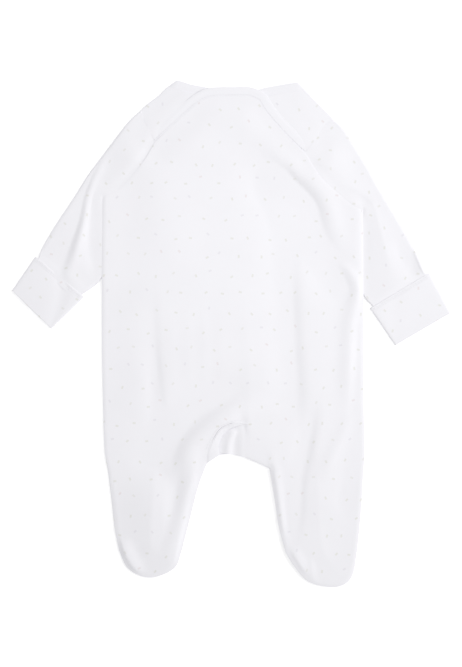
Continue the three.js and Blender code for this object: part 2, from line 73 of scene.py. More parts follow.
overhead = bpy.data.objects.new("overhead_lamp", bpy.data.lights.new("overhead_lamp", "SPOT"))
overhead.data.energy = 32
overhead.data.spot_size = 0.332
overhead.data.spot_blend = 1
overhead.data.shadow_soft_size = 0.3
overhead.location = (0.0, 0.1, 2.3)
scene.collection.objects.link(overhead)

CAMERA_HEIGHT = 2.0
CLOTH_LEVEL = 0.002
VIEW_HEIGHT = 0.667
SENSOR = 36
camera = bpy.data.objects.new("camera", bpy.data.cameras.new("camera"))
camera.data.sensor_fit = "VERTICAL"
camera.data.sensor_height = SENSOR
camera.data.lens = SENSOR * CAMERA_HEIGHT / VIEW_HEIGHT
camera.location = (0, 0, CLOTH_LEVEL + CAMERA_HEIGHT)
scene.collection.objects.link(camera)
scene.camera = camera


# Front of the suit.
# The lowest cloth: cotton interlock, cut in one with the fronts of the legs and feet, flat on the
# table. Its two shoulders are folded over the back, where they lie under the back's neck edge.
MM = 0.001

# Walls, widths and heights above the table, in mm
CLOTH = 1.0
BINDING_WIDTH = 9.3
PLACKET_WIDTH = 12
PLACKET_OVERLAP = 1.6
FLAP_MIDDLE = 1.9
FLAP_INSET = 0.6
HANDS = ("left", "right")

# Outlines as x, y places in mm, which a smooth line runs through
ARMHOLE_TOP = {"left": (-91, 223), "right": (103, 214)}
NECK_CORNER = {"left": (-54, 253.5), "right": (67, 251.5)}
JUNCTION = {"left": (-76, 191.5), "right": (74, 180.5)}
SHOULDER = {
    "left": [ARMHOLE_TOP["left"], (-84, 229.5), (-73, 237.5), (-65, 245.5), NECK_CORNER["left"]],
    "right": [ARMHOLE_TOP["right"], (96, 221.5), (88, 229.5), (80, 237.5), NECK_CORNER["right"]],
}
ARMHOLE_UPPER = {
    "left": [ARMHOLE_TOP["left"], (-86.5, 212), (-80, 200), JUNCTION["left"]],
    "right": [ARMHOLE_TOP["right"], (92, 206.5), (85, 194.5), JUNCTION["right"]],
}
ARMHOLE_LOWER = {
    "left": [JUNCTION["left"], (-85, 175.5), (-100, 156.5), (-112, 144.5), (-128, 136.5)],
    "right": [JUNCTION["right"], (89, 156.5), (111, 136.5), (122, 127.5), (132, 123.5)],
}
SIDE = {
    "left": [(-128, 136.5), (-129, 53.5), (-129, -16.5), (-128, -66.5), (-127.3, -96)],
    "right": [(132, 123.5), (132.5, 3.5), (132.5, -66.5), (133.5, -96)],
}
HIP = {
    "left": [(-127.3, -96), (-126, -120.5), (-123, -136.5)],
    "right": [(133.5, -96), (133.5, -120.5), (132.5, -136.5)],
}
LEG_OUTER = {
    "left": [(-123, -136.5), (-119, -168.5), (-116, -196.5), (-112, -216.5)],
    "right": [(132.5, -136.5), (130, -176.5), (128.5, -192.5), (126, -216.5)],
}
TOE = {
    "left": [
        (-112, -216.5), (-105, -232.5), (-96, -240), (-83, -244), (-68, -241), (-55, -232.5),
        (-50, -218.5)],
    "right": [
        (54.5, -218.5), (63, -232.5), (78, -248.5), (102, -253.5), (114, -250.5), (121, -242.5),
        (126, -216.5)],
}
LEG_INNER = {
    "left": [(-24, -129.5), (-30, -144.5), (-35, -160.5), (-41, -184.5), (-50, -218.5)],
    "right": [(38.5, -134.5), (40, -144.5), (44, -168.5), (47.5, -192.5), (54.5, -218.5)],
}
CROTCH_HEM = [(-24, -129.5), (-12, -122.5), (0, -121.3), (13, -124), (25, -128.5), (38.5, -134.5)]
NECKLINE = [
    NECK_CORNER["left"], (-44, 238), (-24, 226), (6, 221), (37, 225), (57, 236), NECK_CORNER["right"]]
FLAP_NECK = {
    "left": [(-13, 242.5), (-26, 246.3), (-40, 249), NECK_CORNER["left"]],
    "right": [(22, 242.5), (35, 245.8), (50, 248.5), NECK_CORNER["right"]],
}
FLAP_HIDDEN = {
    "left": [(-80, 182.5), (-66, 184.5), (-16, 229.5)],
    "right": [(80, 171), (66, 173), (19, 226)],
}

# Each folded shoulder is puffed a little, stands up along its armhole, and slopes down beside the
# line where the back binding's free edge lies on it: by a height, over a half width
FLAP_PUFF = {"left": 0.55, "right": 0.9}
ARMHOLE_RISE = 0.7
ARMHOLE_REACH = 14
FLAP_TOUCH = {
    "left": [(-82, 197), (-68, 212), (-54, 224.5), (-40, 236), (-28, 244)],
    "right": [(33, 240), (43, 227), (53, 215), (73, 194), (82, 186)],
}
FLAP_SLOPE = {"left": (1.25, 11), "right": (0.9, 14)}


def smoothed(places):
    """Many places along a smooth line through a few."""
    p = np.array(places, float)
    p = np.vstack([2 * p[0] - p[1], p, 2 * p[-1] - p[-2]])
    runs = []
    for a, b, c, d in zip(p, p[1:], p[2:], p[3:]):
        t = np.cumsum([0, *(np.linalg.norm(n - m) ** 0.5 for m, n in ((a, b), (b, c), (c, d)))])
        s = np.linspace(t[1], t[2], 25)[:-1, None]

        def between(m, n, i, j):
            return ((t[j] - s) * m + (s - t[i]) * n) / (t[j] - t[i])

        ab, bc, cd = between(a, b, 0, 1), between(b, c, 1, 2), between(c, d, 2, 3)
        runs.append(between(between(ab, bc, 0, 2), between(bc, cd, 1, 3), 1, 2))
    return np.vstack([*runs, p[-2:-1]])


def edge(steps, *lines, crowd=0.5):
    """Places along the edge of a cloth, closer together at its ends, with each line's own ends kept."""
    fine = [smoothed(line) for line in lines]
    whole = np.vstack([fine[0], *(f[1:] for f in fine[1:])])
    far = np.concatenate([[0], np.cumsum(np.linalg.norm(np.diff(whole, axis=0), axis=1))])
    t = np.linspace(0, 1, steps + 1)
    at = far[-1] * (t - crowd * np.sin(2 * np.pi * t) / (2 * np.pi))
    for corner in np.cumsum([len(f) - 1 for f in fine])[:-1]:
        at[np.argmin(abs(at - far[corner]))] = far[corner]
    return np.column_stack([np.interp(at, far, whole[:, k]) for k in (0, 1)])


def beside(line, distance):
    """The line beside another, on its left hand when the distance is above zero."""
    ways = np.gradient(np.asarray(line, float), axis=0)
    ways /= np.linalg.norm(ways, axis=1)[:, None]
    return line + distance * np.column_stack([-ways[:, 1], ways[:, 0]])


def filled(top, bottom, left, right):
    """The places of a four-sided cloth, filled in between its edges."""
    u = np.linspace(0, 1, len(top))[None, :, None]
    v = np.linspace(0, 1, len(left))[:, None, None]
    down = (1 - v) * top[None] + v * bottom[None]
    across = (1 - u) * left[:, None] + u * right[:, None]
    corners = (1 - v) * ((1 - u) * top[0] + u * top[-1]) + v * ((1 - u) * bottom[0] + u * bottom[-1])
    return down + across - corners


def evened(places, rounds=2):
    """The same places with those inside spread evenly, so that none reaches past the edge."""
    for _ in range(rounds):
        four = places[:-2, 1:-1] + places[2:, 1:-1] + places[1:-1, :-2] + places[1:-1, 2:]
        places[1:-1, 1:-1] = four / 4
    return places


def away(line, x, y):
    """How far places are from a line, below zero on its right hand, and how far along it they are."""
    line = np.asarray(line, float)
    steps = np.diff(line, axis=0)
    sizes = np.linalg.norm(steps, axis=1)
    starts = np.concatenate([[0], np.cumsum(sizes)])
    nearest = np.full(np.shape(x), np.inf)
    side = np.ones(np.shape(x))
    part = np.zeros(np.shape(x))
    for (ax, ay), (dx, dy), size, start in zip(line, steps, sizes, starts):
        t = np.clip(((x - ax) * dx + (y - ay) * dy) / size**2, 0, 1)
        px, py = x - ax - t * dx, y - ay - t * dy
        d = np.hypot(px, py)
        closer = d < nearest
        nearest = np.where(closer, d, nearest)
        side = np.where(closer, np.where(dx * py - dy * px >= 0, 1, -1), side)
        part = np.where(closer, (start + t * size) / starts[-1], part)
    return nearest * side, part


def at_height(places, height):
    """Places in the plan with their heights added."""
    return np.dstack([places, np.broadcast_to(height, places.shape[:2])])


def turned(row, way, upper, lower, steps=5):
    """Rows that carry cloth round a fold, from the layer above down to the layer below."""
    centre, radius = (upper + lower) / 2, (upper - lower) / 2
    rows = []
    for a in np.pi * np.arange(1, steps + 1) / (steps + 1):
        out = row + np.asarray(way) * radius * np.sin(a)
        rows.append(np.column_stack([out, np.full(len(row), centre + radius * np.cos(a))]))
    return np.array(rows)


def hemmed(rows):
    """The grid with one more row close inside each of its borders, which keeps those borders crisp."""
    for _ in range(2):
        rows = np.asarray(rows, float)
        first, last = (rows[a] * 0.93 + rows[b] * 0.07 for a, b in ((0, 1), (-1, -2)))
        rows = np.concatenate([rows[:1], first[None], rows[1:-1], last[None], rows[-1:]])
        rows = rows.transpose(1, 0, 2)
    return rows


def sewn(name, grids, thickness, *nodes):
    """A cloth piece made of grids of places, joined where they meet and given its thickness."""
    points, faces = [], []
    for rows in grids:
        rows = hemmed(rows)
        first = len(points)
        across = rows.shape[1]
        points.extend(rows.reshape(-1, 3) * MM)
        for r in range(rows.shape[0] - 1):
            for c in range(across - 1):
                a = first + r * across + c
                faces.append((a, a + across, a + across + 1, a + 1))
    mesh = bpy.data.meshes.new(name)
    mesh.from_pydata([tuple(p) for p in points], [], faces)
    shape = bmesh.new()
    shape.from_mesh(mesh)
    bmesh.ops.remove_doubles(shape, verts=shape.verts, dist=0.05 * MM)
    bmesh.ops.recalc_face_normals(shape, faces=shape.faces)
    shape.to_mesh(mesh)
    shape.free()
    mesh.shade_smooth()
    piece = bpy.data.objects.new(name, mesh)
    scene.collection.objects.link(piece)
    wall = piece.modifiers.new("cloth", "SOLIDIFY")
    wall.thickness = thickness * MM
    wall.offset = 0
    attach(piece, "root")
    if nodes:
        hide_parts(*nodes)
    return piece


class Dye:
    """A value, colour or direction in a cloth's material. Sums and products add their Math nodes."""

    def __init__(self, tree, socket=None):
        self.tree, self.socket = tree, socket

    def node(self, kind, settings=None, values=None, out=0):
        """One of a new node's outputs: its settings go in first, then the values of its sockets."""
        made = self.tree.nodes.new("ShaderNode" + kind)
        for name, value in (settings or {}).items():
            if name == "stops":
                ramp = made.color_ramp
                ramp.interpolation = "CONSTANT"
                while len(ramp.elements) < len(value):
                    ramp.elements.new(1)
                for stop, (place, colour) in zip(ramp.elements, value):
                    stop.position, stop.color = place, (*colour, 1)
            else:
                setattr(made, name, value)
        for key, value in (values or {}).items():
            if isinstance(value, Dye):
                self.tree.links.new(value.socket, made.inputs[key])
            else:
                made.inputs[key].default_value = value
        return Dye(self.tree, made.outputs[out])

    def other(self, out):
        """Another output of the same node."""
        return Dye(self.tree, self.socket.node.outputs[out])

    def maths(self, operation, *values):
        return self.node("Math", {"operation": operation}, dict(enumerate(values)))

    def __add__(self, other):
        return self.maths("ADD", self, other)

    __radd__ = __add__

    def __sub__(self, other):
        return self.maths("SUBTRACT", self, other)

    def __rsub__(self, other):
        return self.maths("SUBTRACT", other, self)

    def __mul__(self, other):
        return self.maths("MULTIPLY", self, other)

    __rmul__ = __mul__

    def sine(self):
        return self.maths("SINE", self)

    def size(self):
        return self.maths("ABSOLUTE", self)

    def parts(self):
        """The x part of a place, whose other outputs are its y and z."""
        return self.node("SeparateXYZ", None, {0: self})

    def rotated(self, angle):
        """A place turned about the upright axis."""
        return self.node("VectorRotate", {"rotation_type": "Z_AXIS"}, {"Vector": self, "Angle": angle})

    def over(self, low, high):
        """0 at the first value, 1 at the second, and straight in between."""
        return self.node("MapRange", {"clamp": True}, {"Value": self, "From Min": low, "From Max": high})


# The print: how far apart its dashes stand in metres, and, in steps of that, how far all of them
# are moved and how far a dash's ink reaches along and across it, where it ends and where it is full
PRINT_STEP = 0.0186
PRINT_SHIFT = 0.38
DASH_LENGTH = (0.1, 0.065)
DASH_WIDTH = (0.066, 0.034)
PRINT_STRENGTH = 0.22

# The inks, each from its share of the dashes on, and the white of the cotton
INKS = [
    (0.0, (0.50, 0.50, 0.30)), (0.55, (0.58, 0.57, 0.45)),
    (0.75, (0.56, 0.53, 0.60)), (0.9, (0.62, 0.46, 0.42))]
JERSEY = (0.872, 0.866, 0.9)


def cotton(name, colour, turn=0.0, wale=0.8, printed=True, relief=0.35):
    """Knitted cotton, its ribs turned with the cut of the piece, and its print of tiny dashes."""
    material = bpy.data.materials.new(name)
    material.use_nodes = True
    tree = material.node_tree
    shader = tree.nodes["Principled BSDF"]
    place = Dye(tree).node("TexCoord", out="Object")
    grain = place.rotated(turn)
    tone = grain.node("TexNoise", None, {"Vector": grain, "Scale": 26.0, "Detail": 3.0}).over(0.3, 0.7)
    faded = (*[c * 0.985 for c in colour], 1)
    ground = tone.node("Mix", {"data_type": "RGBA"}, {0: tone, 6: faded, 7: (*colour, 1)}, 2)
    if printed:
        # Each row stands half a step beside the next, and each dash lies at an angle of its own
        rows = grain.node("VectorMath", {"operation": "SCALE"}, {0: grain, 3: 1 / PRINT_STEP}).parts()
        beside_next = rows + rows.other(1) * 0.5 - PRINT_SHIFT
        cells = rows.node("CombineXYZ", None, {0: beside_next, 1: rows.other(1)})
        dash = cells.node(
            "TexVoronoi", {"voronoi_dimensions": "2D"},
            {"Vector": cells, "Scale": 1.0, "Randomness": 0.42}, "Position")
        chance = dash.other("Color").node("SeparateColor", None, {0: dash.other("Color")})
        apart = dash.node("VectorMath", {"operation": "SUBTRACT"}, {0: cells, 1: dash}).parts()
        upright = apart.node(
            "CombineXYZ", None, {0: apart - apart.other(1) * 0.5, 1: apart.other(1)})
        spread = upright.rotated(chance * 6.283).parts()
        ink = spread.size().over(*DASH_LENGTH) * spread.other(1).size().over(*DASH_WIDTH)
        shade = ink.node("ValToRGB", {"stops": INKS}, {0: chance.other(1)})
        ground = ground.node(
            "Mix", {"data_type": "RGBA"}, {0: ink * PRINT_STRENGTH, 6: ground, 7: shade}, 2)
    tree.links.new(ground.socket, shader.inputs["Base Color"])
    ribs = grain.parts()
    across = (ribs * (3.1416 / (wale * MM))).sine().size()
    loops = (ribs.other(1) * (6.2832 / (0.9 * wale * MM)) + across * 1.6).sine()
    fuzz = grain.node("TexNoise", None, {"Vector": grain, "Scale": 1400.0, "Detail": 2.0})
    knit = across * 0.6 + loops * 0.25 + fuzz * 0.4
    bump = knit.node("Bump", None, {"Strength": relief, "Distance": 0.00012, "Height": knit})
    tree.links.new(bump.socket, shader.inputs["Normal"])
    shader.inputs["Roughness"].default_value = 0.92
    shader.inputs["Specular IOR Level"].default_value = 0.25
    shader.inputs["Sheen Weight"].default_value = 0.08
    return material


def hump(distance, height, half_width):
    """A soft hump on a line, told by how far places are from it."""
    return height * np.exp(-((distance / half_width) ** 2))


def flap_slope(hand, x, y):
    """How far a folded shoulder stands up along the back binding's free edge."""
    return hump(away(smoothed(FLAP_TOUCH[hand]), x, y)[0], *FLAP_SLOPE[hand])


def shoulder_fold(hand, thickness):
    """Where a front shoulder turns over: its way out, its line moved in by its radius, its seam."""
    outline = np.array(SHOULDER[hand], float)
    tangent = (outline[-1] - outline[0]) / np.linalg.norm(outline[-1] - outline[0])
    sign = 1 if hand == "left" else -1
    way = np.array([-tangent[1] * sign, tangent[0] * sign])
    inset = (FLAP_MIDDLE - CLOTH / 2) / 2 + thickness / 2
    back = (outline[-2] - outline[-1]) / np.linalg.norm(outline[-2] - outline[-1])
    seam = outline[-1] + back * BINDING_WIDTH
    return way, outline - way * inset, seam - way * inset


FRONT_ACROSS = 48
FRONT_DOWN = 86
FRONT_LEG_DOWN = 50
FOLD_STEPS = 24
neck_edge = edge(2 * FRONT_ACROSS, NECKLINE, crowd=0)
inner_seam = edge(120, LEG_INNER["left"][::-1], CROTCH_HEM, LEG_INNER["right"], crowd=0)
folds = {hand: shoulder_fold(hand, CLOTH) for hand in HANDS}
fold_row = {
    hand: edge(FOLD_STEPS, [*folds[hand][1][:-1], folds[hand][2]], crowd=0) for hand in HANDS}

# Under its binding the front's neck runs through a few places, clear of both shoulder corners
neck_seam = beside(neck_edge, -BINDING_WIDTH)[5:-7:6]
front_top = edge(2 * FRONT_ACROSS, [fold_row["left"][-1], *neck_seam, fold_row["right"][-1]], crowd=0)
front_sides = {}
for hand in HANDS:
    below_fold = [folds[hand][1][0], *ARMHOLE_UPPER[hand][1:]]
    front_sides[hand] = np.vstack([
        fold_row[hand][::-1],
        edge(FRONT_DOWN, below_fold, ARMHOLE_LOWER[hand], SIDE[hand], crowd=0)[1:]])
placket_seam = beside(inner_seam, PLACKET_WIDTH - PLACKET_OVERLAP)
middle = len(placket_seam) // 2
front_bottom = np.vstack([
    edge(FRONT_ACROSS, [SIDE["left"][-1], placket_seam[middle]], crowd=0),
    edge(FRONT_ACROSS, [placket_seam[middle], SIDE["right"][-1]], crowd=0)[1:]])
front_grids = [evened(filled(front_top, front_bottom, front_sides["left"], front_sides["right"]))]
for hand in HANDS:
    left = hand == "left"
    seam = placket_seam[6:middle + 1:6][::-1] if left else placket_seam[middle:-6:6]
    inner = edge(FRONT_LEG_DOWN, seam, [seam[-1], LEG_INNER[hand][-1]], crowd=0)
    inner[0] = placket_seam[middle]
    outer = edge(FRONT_LEG_DOWN, HIP[hand], LEG_OUTER[hand], crowd=0)
    top = front_bottom[:FRONT_ACROSS + 1] if left else front_bottom[FRONT_ACROSS:]
    sides = (outer, inner) if left else (inner, outer)
    front_grids.append(filled(top, edge(FRONT_ACROSS, TOE[hand], crowd=0), *sides))
front_layers = [at_height(grid, CLOTH / 2) for grid in front_grids]
for hand in HANDS:
    way, outline, seam = folds[hand]
    armhole = edge(FOLD_STEPS, [outline[0], *ARMHOLE_UPPER[hand][1:]], crowd=0)[::-1]
    armhole = np.vstack([[FLAP_HIDDEN[hand][0]], armhole])
    inset = (BINDING_WIDTH - FLAP_INSET) * (1 if hand == "left" else -1)
    neck = beside(edge(len(armhole) - 1, FLAP_NECK[hand], crowd=0), inset)
    neck[-1] = seam
    hidden = edge(FOLD_STEPS, [*FLAP_HIDDEN[hand][:-1], neck[0]], crowd=0)
    flap = filled(hidden, fold_row[hand], armhole, neck)
    from_fold = np.linspace(1, 0, len(flap))[:, None]
    depth = np.minimum(1, from_fold * 4)
    along_fold = np.linspace(0, 1, len(fold_row[hand]))[None]
    puff = FLAP_PUFF[hand] * np.sin(np.pi * along_fold) ** 0.7 * depth * (1 - from_fold) ** 0.5
    puff = puff + flap_slope(hand, flap[..., 0], flap[..., 1]) * depth
    to_armhole = away(smoothed(ARMHOLE_UPPER[hand])[::4], flap[..., 0], flap[..., 1])[0]
    puff = puff + hump(to_armhole, ARMHOLE_RISE, ARMHOLE_REACH) * depth
    front_layers.append(np.concatenate([
        at_height(flap, FLAP_MIDDLE + puff),
        turned(fold_row[hand], way, FLAP_MIDDLE, CLOTH / 2),
        at_height(fold_row[hand][None], CLOTH / 2)]))
front = sewn("front_cloth", front_layers, CLOTH, "front_panel")
front.data.materials.append(cotton("front_jersey", JERSEY))


# Front placket.
# A straight strip of the same cotton, left plain, sewn along the inner leg of the front and a
# little over its edge. The back lies over it and hides all but its middle.
PLACKET_TOP = 2.3
PLACKET_ACROSS = 8
placket_line = inner_seam[7:-7]
placket_edge = beside(placket_line, PLACKET_WIDTH)
placket_rows = np.array([
    placket_line * (1 - t) + placket_edge * t for t in np.linspace(0.05, 1, PLACKET_ACROSS)])
front_placket = sewn(
    "front_placket_cloth", [at_height(placket_rows, PLACKET_TOP - CLOTH / 2)], CLOTH,
    "front_placket")
front_placket.data.materials.append(cotton("placket_jersey", JERSEY, printed=False))


# Poppers.
# Nine enamelled metal snap caps, bought ready made and pressed through the front placket. They
# keep the shapes of their solids and only get their enamel here.
POPPERS = 9
enamel = bpy.data.materials.new("popper_enamel")
enamel.use_nodes = True
cap = enamel.node_tree.nodes["Principled BSDF"]
worn = Dye(enamel.node_tree).node("TexNoise", None, {"Scale": 900.0}).over(0.35, 0.75)
enamel.node_tree.links.new((worn * 0.12 + 0.26).socket, cap.inputs["Roughness"])
cap.inputs["Base Color"].default_value = (0.86, 0.86, 0.87, 1)
cap.inputs["Coat Weight"].default_value = 0.3
for number in range(1, POPPERS + 1):
    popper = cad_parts[f"popper_{number}"]
    popper.data.materials.clear()
    popper.data.materials.append(enamel)


# Back of the suit.
# The upper cloth, cut in one with the backs of the legs and feet. It lies over the front with air
# between them, is held down at its edges, and carries the creases of a suit just unfolded.
SEAM_GAP = 0.3
FRONT_TOP = CLOTH
FLAP_TOP = 2.7
BODY_AIR = 2.2
AIR_REACH = 58

# How far from their own line the folded shoulders and the placket lift the back to the full, and
# over how far that runs out
OVER_FLAP = (12, 45)
OVER_PLACKET = (11, 36)

# How far in from an edge the cloth rolls down, how far from the neck's lap it lies flatter, and
# the half width of the line that an armhole seam draws
EDGE_ROLL = 4
LAP_REACH = 30
SEAM_WIDTH = 1.2

# Where the body's sides lie over the sleeves they are lifted, and the right one is pressed down
# again at its very edge: by a height, over a half width
OVER_SLEEVES = [[(-129, 150), (-129, 58)], [(132.6, 130), (132.6, 40)]]
SIDE_LIFT = (1.15, 22)
SIDE_PRESS = (0.8, 4.5)

BACK_LAP = {
    "left": [JUNCTION["left"], (-61, 205.5), (-48, 217.5), (-34, 229.5), (-25, 235)],
    "right": [(28, 232.5), (35, 221.5), (45, 209.5), (66, 187.5), JUNCTION["right"]],
}
BACK_NECK = [(-25, 235), (-16, 236.5), (2, 236.8), (19, 236.5), (28, 232.5)]
ARCH = [(9, -88), (-1.5, -90), (-10.5, -94.5), (-18.5, -106), (-22.5, -115), (-24, -129.5)]
ARCH_TOP_RIGHT = (16, -90)
ROLLED_EDGE = [ARCH_TOP_RIGHT, (13.5, -107), (14, -124)]
HEM_RIGHT = [(14, -124), (25, -128.5), (38.5, -134.5)]

# Creases: half width on the left and right hand of the way they run, height (below zero for a
# trough), and where they run
BODY_CREASES = [
    # From the neck past the right armhole and down the right side, and one straight down beside it
    (13, 28, -3.8, [
        (8, 204), (26, 182), (42, 160), (56, 146), (74, 128), (82, 106), (91, 84), (103, 62),
        (110, 42), (108, 8)]),
    (11, 11, 1.5, [(30, 190), (56, 168), (80, 150), (95, 130), (102, 104), (106, 70)]),
    (6, 9, 2.2, [
        (84, 112), (92, 88), (103, 72), (117, 62), (126.5, 46), (124, 30), (120, 10), (118, -24),
        (116, -64), (110, -100)]),
    (12, 24, -2.2, [(24, 172), (54, 148), (74, 128), (84, 100)]),
    (8, 24, -2.8, [(50, 215), (55, 150), (56, 100), (58, 43), (61, -16), (65, -66), (68, -140)]),
    # Long thin folds down the left side
    (5, 12, -0.9, [(-80, 60), (-78, 24), (-75, -26), (-68, -92), (-60, -124)]),
    (5, 12, -1.5, [(-78, 4), (-74, -50), (-66, -98), (-57, -150)]),
    (6, 3, 1.1, [(-77, -24), (-72, -62), (-66, -96), (-60, -126), (-57, -150)]),
    # The fold that sweeps from above the crotch into the left leg, and those beside it there
    (14, 26, -4.2, [(34, -42), (0, -57), (-35, -77), (-58, -100), (-69, -130), (-72, -180)]),
    (12, 12, 3.0, [(46, -62), (14, -76), (-15, -89), (-36, -108), (-47, -130), (-52, -164)]),
    (5, 7, 2.2, [(-33, -112), (-39, -145), (-44, -161), (-49, -185), (-57, -219), (-62, -238)]),
    (6, 14, -1.4, [(-48, -112), (-54, -142), (-59, -170), (-64, -188), (-70, -212), (-74, -236)]),
    # The right leg
    (6, 10, -3.0, [(86, -60), (80, -92), (67, -146), (64, -186), (58, -220)]),
    (6, 3.2, 1.8, [(37, -108), (43, -136), (47.5, -168), (51, -192), (58.5, -222)]),
    (7, 7, 1.2, [(124, -74), (88, -150)]),
    (6, 12, -1.6, [(131, -108), (112, -188)]),
    # The feet, and the broad rise of the left leg
    (8, 3.5, 3.0, [(-111, -202), (-104, -222), (-89, -244)]),
    (6, 3, 1.5, [(58, -210), (69, -230), (82, -246)]),
    (2.5, 2.5, 0.8, [(79, -222), (84, -258)]),
    (14, 34, 3.2, [(-68, -120), (-70, -180), (-64, -250)]),
    # Beside the popper opening, the broad rise of the upper left, and faint lengthwise folds
    (3.5, 8, -1.8, [(11, -66), (12, -104), (11, -154)]),
    (30, 30, 1.0, [(-64, 180), (-50, 20)]),
    (5, 6, 0.2, [(-61, 40), (-58, -80)]),
    (5, 5, 0.18, [(-44, 36), (-40, -86)]),
    (4, 5, 0.2, [(-28, 44), (-24, -80)]),
    (5, 5, 0.18, [(-10, 40), (-9, -84)]),
    (4, 6, 0.2, [(14, 44), (20, -90)]),
]


def ease(t):
    """A soft step from 0 to 1."""
    t = np.clip(t, 0, 1)
    return t * t * (3 - 2 * t)


def creased(x, y, creases):
    """How far the creases push the cloth up or down. Each runs out over a third of its length."""
    total = np.zeros(np.shape(x))
    for left, right, depth, line in creases:
        d, t = away(smoothed(line)[::6], x, y)
        width = np.where(d > 0, left, right)
        total += hump(d, depth, width) * ease(t * 3) * ease((1 - t) * 3)
    return total


back_neck_line = edge(90, BACK_LAP["left"], BACK_NECK, BACK_LAP["right"], crowd=0)
body_edges = [
    smoothed(line)[::6] for line in (
        *SIDE.values(), *HIP.values(), *LEG_OUTER.values(), *TOE.values(), *LEG_INNER.values(),
        HEM_RIGHT)]
armholes = [smoothed(line)[::6] for line in (*ARMHOLE_UPPER.values(), *ARMHOLE_LOWER.values())]


def nearest(lines, x, y):
    """How far places are from the nearest of several lines."""
    return np.min([abs(away(line, x, y)[0]) for line in lines], axis=0)


def lying(x, y, thickness):
    """The middle of a cloth that lies on whatever is under it."""
    over_flap, over_placket = (
        1 - ease((abs(away(line, x, y)[0]) - full) / out)
        for line, (full, out) in ((back_neck_line, OVER_FLAP), (inner_seam, OVER_PLACKET)))
    under = np.maximum((FLAP_TOP - FRONT_TOP) * over_flap, (PLACKET_TOP - FRONT_TOP) * over_placket)
    return FRONT_TOP + under + SEAM_GAP + thickness / 2


def aired(edges, air, reach, creases):
    """The height of a cloth with air and creases in it, rolled down at its edges, drawn in at seams.

    Under the neck's lap it lies flatter, and its creases never press it through what it lies on.
    """

    def height(x, y):
        d = nearest(edges, x, y)
        lap = ease(abs(away(back_neck_line, x, y)[0]) / LAP_REACH)
        roll = 1 - (1 - np.clip(d / EDGE_ROLL, 0, 1)) ** 2
        leg = 1 + 0.3 * ease((-100 - y) / 60)
        rise = 0.5 * roll * (0.6 + 0.4 * lap) + ease(d / reach) * air * leg * lap
        rise = rise + ease(d / 5) * creased(x, y, creases) * (0.25 + 0.75 * lap)
        seam = hump(nearest(armholes, x, y), 1, SEAM_WIDTH)
        least = 0.6 * roll
        rise = (rise + least + np.sqrt((rise - least) ** 2 + 0.3 * roll)) / 2
        return lying(x, y, CLOTH) - 0.25 + rise - 0.15 * seam

    return height


body_lift = aired(body_edges, BODY_AIR, AIR_REACH, BODY_CREASES)


def back_height(x, y):
    """The back, lifted where its sides lie over the inner edges of the sleeves."""
    lifted = body_lift(x, y) + hump(nearest(OVER_SLEEVES, x, y), *SIDE_LIFT)
    return lifted - hump(nearest(OVER_SLEEVES[1:], x, y), *SIDE_PRESS)


ACROSS = 132
DOWN = 150
LEG_DOWN = 70
back_top = edge(
    ACROSS, ARMHOLE_LOWER["left"][::-1], BACK_LAP["left"], BACK_NECK, BACK_LAP["right"],
    ARMHOLE_LOWER["right"])
back_bottom = edge(
    ACROSS, [SIDE["left"][-1], (-60, -93), ARCH[0]], [ARCH[0], ARCH_TOP_RIGHT],
    [ARCH_TOP_RIGHT, (70, -94), SIDE["right"][-1]])
left_end, right_end = (
    int(np.argmin(np.linalg.norm(back_bottom - np.array(place), axis=1)))
    for place in (ARCH[0], ARCH_TOP_RIGHT))
back_grids = [
    filled(back_top, back_bottom, edge(DOWN, SIDE["left"]), edge(DOWN, SIDE["right"])),
    filled(
        back_bottom[:left_end + 1], edge(left_end, TOE["left"]),
        edge(LEG_DOWN, HIP["left"], LEG_OUTER["left"]), edge(LEG_DOWN, ARCH, LEG_INNER["left"])),
    filled(
        back_bottom[right_end:], edge(ACROSS - right_end, TOE["right"]),
        edge(LEG_DOWN, ROLLED_EDGE, HEM_RIGHT, LEG_INNER["right"]),
        edge(LEG_DOWN, HIP["right"], LEG_OUTER["right"])),
]
back_layers = [at_height(grid, back_height(grid[..., 0], grid[..., 1])) for grid in back_grids]
back = sewn("back_cloth", back_layers, CLOTH, "back_panel")
back.data.materials.append(cotton("back_jersey", JERSEY))


# Crotch pleat.
# The middle of the placket where it shows in the back's popper opening, of the same plain cotton:
# its spare length stands up in one soft pleat, and it runs on to the back's rolled edge.
PLEAT_LEFT = [(15, -87), (0, -91), (-10, -98), (-16, -109), (-17, -119)]
PLEAT_RIDGE = [(7, -95), (2, -100), (-1.5, -108), (-3, -122)]
PLEAT_LEVEL = 2.0
PLEAT_RISE = 1.7
PLEAT_WIDTHS = (3, 4.5)
pleat_left = edge(30, PLEAT_LEFT, crowd=0)
pleat_right = edge(30, ROLLED_EDGE, crowd=0)
pleat_top = edge(24, [pleat_left[0], pleat_right[0]], crowd=0)
pleat_bottom = edge(24, [pleat_left[-1], (0, -120.8), pleat_right[-1]], crowd=0)
pleat = filled(pleat_top, pleat_bottom, pleat_left, pleat_right)
ridge, along_ridge = away(smoothed(PLEAT_RIDGE), pleat[..., 0], pleat[..., 1])
raised = hump(ridge, PLEAT_RISE, np.where(ridge > 0, *PLEAT_WIDTHS)) * ease(along_ridge * 4)
to_right = ease((pleat[..., 0] - 3) / 9)
pleat_height = (PLEAT_LEVEL + raised) * (1 - to_right)
pleat_height += to_right * back_height(pleat[..., 0], pleat[..., 1])
crotch_pleat = sewn("crotch_pleat", [at_height(pleat, pleat_height)], CLOTH)
crotch_pleat.data.materials.append(front_placket.data.materials[0])


